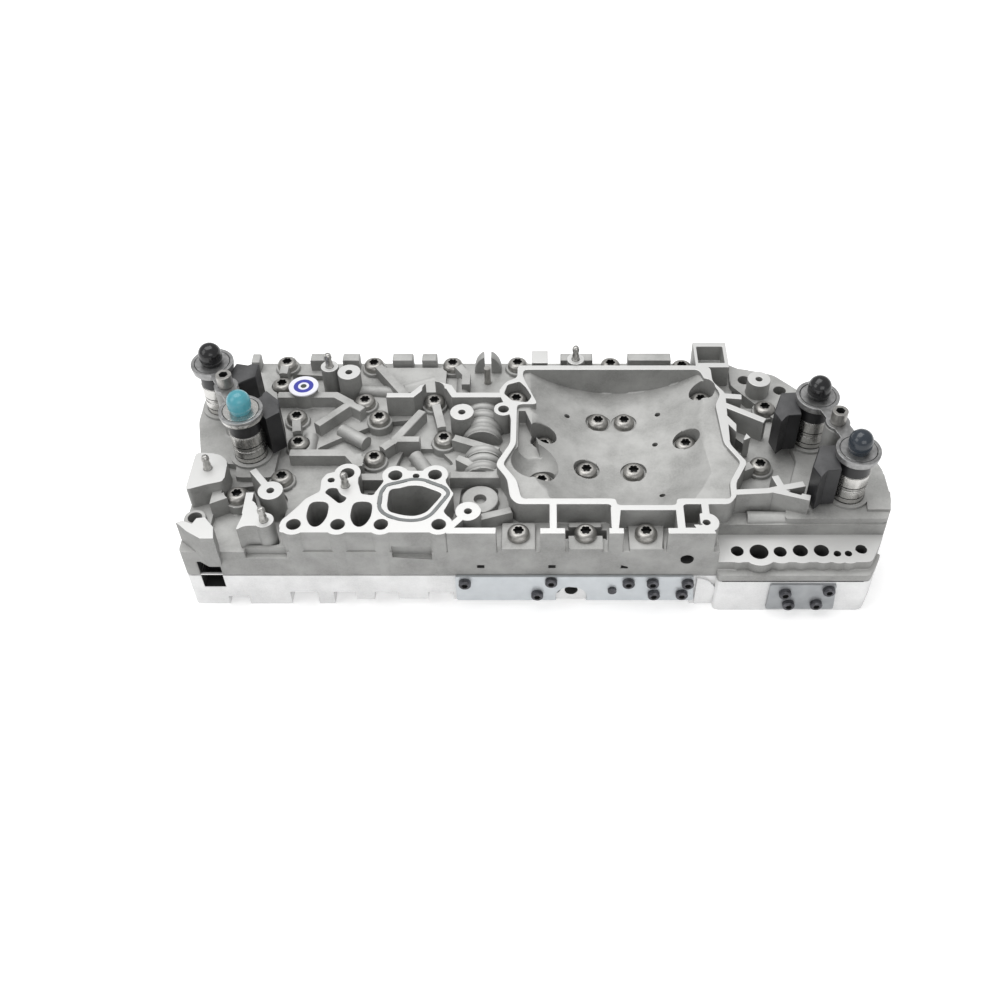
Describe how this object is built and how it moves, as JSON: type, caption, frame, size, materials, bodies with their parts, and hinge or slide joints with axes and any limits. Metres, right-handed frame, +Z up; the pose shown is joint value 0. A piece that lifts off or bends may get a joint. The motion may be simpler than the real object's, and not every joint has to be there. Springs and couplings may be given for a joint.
{
  "type": "transmission valve body",
  "caption": "Cast transmission valve body with a ribbed upper housing, a lower housing, cover plates, solenoids with caps and sliding spool valves.",
  "frame": {"origin": "middle of the box, on the bench under the lower casting", "axes": "+X along the length to the right, +Y from the front face with the cover plates to the back edge, +Z up"},
  "size_m": [0.408, 0.171, 0.099],
  "materials": {
    "cast_upper": "sand-cast, warm grey, with machined top faces nearly white",
    "cast_lower": "die-cast, pale and silvery",
    "plate_steel": "plain sheet",
    "cover_steel": "pale bluish plated sheet",
    "black_screw": "black oxide",
    "screw_steel": "dark plated steel",
    "solenoid_steel": "nickel-plated",
    "bracket_steel": "dull plated steel",
    "pin_steel": "ground",
    "ball_steel": "polished",
    "spool_steel": "anodised and ground",
    "spring_steel": "drawn wire",
    "seal_rubber": "smooth",
    "disc_plastic": "white with a dark ring",
    "connector_plastic": "moulded",
    "cap_black": "glossy",
    "cap_teal": "glossy",
    "cap_blue": "glossy, slightly clear"
  },
  "bodies": {
    "casing": {"upper_housing": "cast_upper", "separator_plate": "plate_steel", "lower_housing": "cast_lower", "front_cover_plate": "cover_steel", "side_cover_plate": "cover_steel", "front_cover_screws": "black_screw", "side_cover_screws": "black_screw", "front_cover_plug": "black_screw", "rear_row_screws": "screw_steel", "left_bank_screws": "screw_steel", "tub_screws": "screw_steel", "front_edge_screws": "screw_steel", "right_bank_screws": "screw_steel", "solenoid_front_left": "solenoid_steel", "solenoid_rear_left": "solenoid_steel", "solenoid_front_right": "solenoid_steel", "solenoid_rear_right": "solenoid_steel", "solenoid_cap_front_left": "cap_teal", "solenoid_cap_rear_left": "cap_black", "solenoid_cap_front_right": "cap_blue", "solenoid_cap_rear_right": "cap_black", "connector_front_left": "connector_plastic", "connector_rear_left": "connector_plastic", "connector_front_right": "connector_plastic", "connector_rear_right": "connector_plastic", "solenoid_bracket_left": "bracket_steel", "solenoid_bracket_right": "bracket_steel", "bracket_screws": "bracket_steel", "locating_pins": "pin_steel", "threaded_stud": "screw_steel", "port_seal": "seal_rubber", "marker_disc": "disc_plastic", "check_balls": "ball_steel", "valve_spring_1": "spring_steel", "valve_spring_2": "spring_steel", "valve_spring_3": "spring_steel", "valve_spring_4": "spring_steel", "valve_spring_5": "spring_steel"},
    "spool_1": {"spool_valve_1": "spool_steel"},
    "spool_2": {"spool_valve_2": "spool_steel"},
    "spool_3": {"spool_valve_3": "spool_steel"},
    "spool_4": {"spool_valve_4": "spool_steel"},
    "spool_5": {"spool_valve_5": "spool_steel"}
  },
  "joints": [
    {"name": "spool_slide_1", "type": "slide", "parent": "casing", "child": "spool_1", "axis": [0, -1, 0], "range_m": [0, 0.005], "stiffness_N_per_m": 800, "deforming": ["valve_spring_1"]},
    {"name": "spool_slide_2", "type": "slide", "parent": "casing", "child": "spool_2", "axis": [0, -1, 0], "range_m": [0, 0.005], "stiffness_N_per_m": 800, "deforming": ["valve_spring_2"]},
    {"name": "spool_slide_3", "type": "slide", "parent": "casing", "child": "spool_3", "axis": [0, -1, 0], "range_m": [0, 0.005], "stiffness_N_per_m": 800, "deforming": ["valve_spring_3"]},
    {"name": "spool_slide_4", "type": "slide", "parent": "casing", "child": "spool_4", "axis": [0, -1, 0], "range_m": [0, 0.005], "stiffness_N_per_m": 800, "deforming": ["valve_spring_4"]},
    {"name": "spool_slide_5", "type": "slide", "parent": "casing", "child": "spool_5", "axis": [0, -1, 0], "range_m": [0, 0.005], "stiffness_N_per_m": 800, "deforming": ["valve_spring_5"]}
  ]
}
